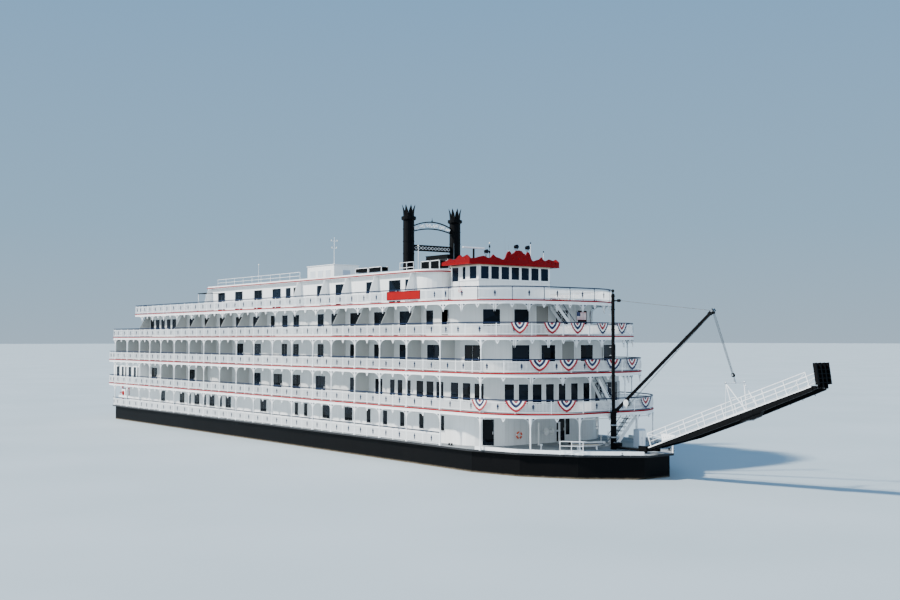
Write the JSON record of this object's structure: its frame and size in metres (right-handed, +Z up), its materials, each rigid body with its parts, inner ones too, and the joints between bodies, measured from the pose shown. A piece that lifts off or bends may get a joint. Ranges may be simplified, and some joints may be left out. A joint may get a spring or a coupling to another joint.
{
  "type": "one-tenth scale model of a sternwheel riverboat",
  "caption": "Sternwheel riverboat with galleried decks, twin crowned smokestacks, a pilothouse and a derrick that carries a landing stage, at one tenth of full size.",
  "frame": {"origin": "on the hull's flat bottom, amidships, on the centreline", "axes": "+X to the bow, +Y to port, +Z up"},
  "size_m": [10.5581, 1.68, 2.394],
  "materials": {
    "white_paint": "semi-gloss white paint on steel and joinery",
    "black_paint": "satin black paint",
    "red_paint": "semi-gloss red paint",
    "deck_paint": "matt grey deck paint"
  },
  "bodies": {
    "boat": {"hull": "black_paint", "main_deck": "deck_paint", "starboard_bulwark": "white_paint", "port_bulwark": "white_paint", "deck_2": "white_paint", "deck_3": "white_paint", "deck_4": "white_paint", "deck_5": "white_paint", "texas_roof": "white_paint", "main_house": "white_paint", "house_2": "white_paint", "house_3": "white_paint", "house_4": "white_paint", "texas_house": "white_paint", "roof_house": "white_paint", "lounge": "white_paint", "starboard_gallery_1": "white_paint", "starboard_gallery_2": "white_paint", "starboard_gallery_3": "white_paint", "starboard_gallery_4": "white_paint", "starboard_gallery_5": "white_paint", "port_gallery_1": "white_paint", "port_gallery_2": "white_paint", "port_gallery_3": "white_paint", "port_gallery_4": "white_paint", "port_gallery_5": "white_paint", "front_columns_1": "white_paint", "front_columns_2": "white_paint", "front_columns_3": "white_paint", "front_rail_2": "white_paint", "front_rail_3": "white_paint", "front_rail_4": "white_paint", "front_rail_5": "white_paint", "stern_rail_2": "white_paint", "stern_rail_3": "white_paint", "stern_rail_4": "white_paint", "stern_rail_5": "white_paint", "pilothouse": "white_paint", "pilothouse_roof": "red_paint", "starboard_stack": "black_paint", "port_stack": "black_paint", "stack_arch": "black_paint", "stack_band": "black_paint", "starboard_wheel_timber": "white_paint", "port_wheel_timber": "white_paint", "fore_stair": "white_paint", "upper_fore_stair": "white_paint"},
    "sternwheel": {"sternwheel": "red_paint"},
    "starboard_rudder": {"starboard_rudder": "black_paint"},
    "centre_rudder": {"centre_rudder": "black_paint"},
    "port_rudder": {"port_rudder": "black_paint"},
    "radar": {"radar_scanner": "white_paint"},
    "starboard_door": {"starboard_door": "white_paint"},
    "port_door": {"port_door": "white_paint"},
    "derrick": {"mast": "black_paint"},
    "boom": {"boom": "black_paint"},
    "falls": {"falls": "black_paint"},
    "stage": {"stage": "black_paint", "stage_rails": "white_paint"},
    "apron": {"stage_apron": "black_paint"}
  },
  "joints": [
    {"name": "wheel_spin", "type": "hinge", "parent": "boat", "child": "sternwheel", "pos_m": [-4.8, 0, 0.5], "axis": [0, 1, 0], "continuous": true},
    {"name": "centre_rudder_turn", "type": "hinge", "parent": "boat", "child": "centre_rudder", "pos_m": [-4.06, 0, 0.1], "axis": [0, 0, 1], "range_deg": [-40, 40]},
    {"name": "starboard_rudder_turn", "type": "hinge", "parent": "boat", "child": "starboard_rudder", "pos_m": [-4.06, -0.45, 0.1], "axis": [0, 0, 1], "range_deg": [-40, 40]},
    {"name": "port_rudder_turn", "type": "hinge", "parent": "boat", "child": "port_rudder", "pos_m": [-4.06, 0.45, 0.1], "axis": [0, 0, 1], "range_deg": [-40, 40]},
    {"name": "radar_spin", "type": "hinge", "parent": "boat", "child": "radar", "pos_m": [2.2, -0.222, 1.95], "axis": [0, 0, 1], "continuous": true},
    {"name": "starboard_door_swing", "type": "hinge", "parent": "boat", "child": "starboard_door", "pos_m": [2.211, -0.385, 1.65], "axis": [0, 0, 1], "range_deg": [0, 100]},
    {"name": "port_door_swing", "type": "hinge", "parent": "boat", "child": "port_door", "pos_m": [2.211, 0.385, 1.65], "axis": [0, 0, -1], "range_deg": [0, 100]},
    {"name": "derrick_slew", "type": "hinge", "parent": "boat", "child": "derrick", "pos_m": [3.582, 0, 0.4], "axis": [0, 0, 1], "range_deg": [-60, 60]},
    {"name": "stage_lift", "type": "hinge", "parent": "derrick", "child": "stage", "pos_m": [3.96, 0, 0.425], "axis": [0, -1, 0], "range_deg": [-9.5, 25.5]},
    {"name": "boom_luff", "type": "hinge", "parent": "derrick", "child": "boom", "pos_m": [3.614, 0, 0.677], "axis": [0, -1, 0], "range_deg": [-8, 21]},
    {"name": "falls_swing", "type": "hinge", "parent": "boom", "child": "falls", "pos_m": [4.52, 0, 1.393], "axis": [0, 1, 0], "range_deg": [-8, 20]},
    {"name": "apron_fold", "type": "hinge", "parent": "stage", "child": "apron", "pos_m": [5.3586, 0, 0.9033], "axis": [0, 1, 0], "range_deg": [0, 80]}
  ],
  "couplings": [
    {"joint": "starboard_rudder_turn", "follows": "centre_rudder_turn", "ratio": 1},
    {"joint": "port_rudder_turn", "follows": "centre_rudder_turn", "ratio": 1},
    {"joint": "boom_luff", "follows": "stage_lift", "ratio": 0.785},
    {"joint": "falls_swing", "follows": "stage_lift", "ratio": 0.74}
  ]
}
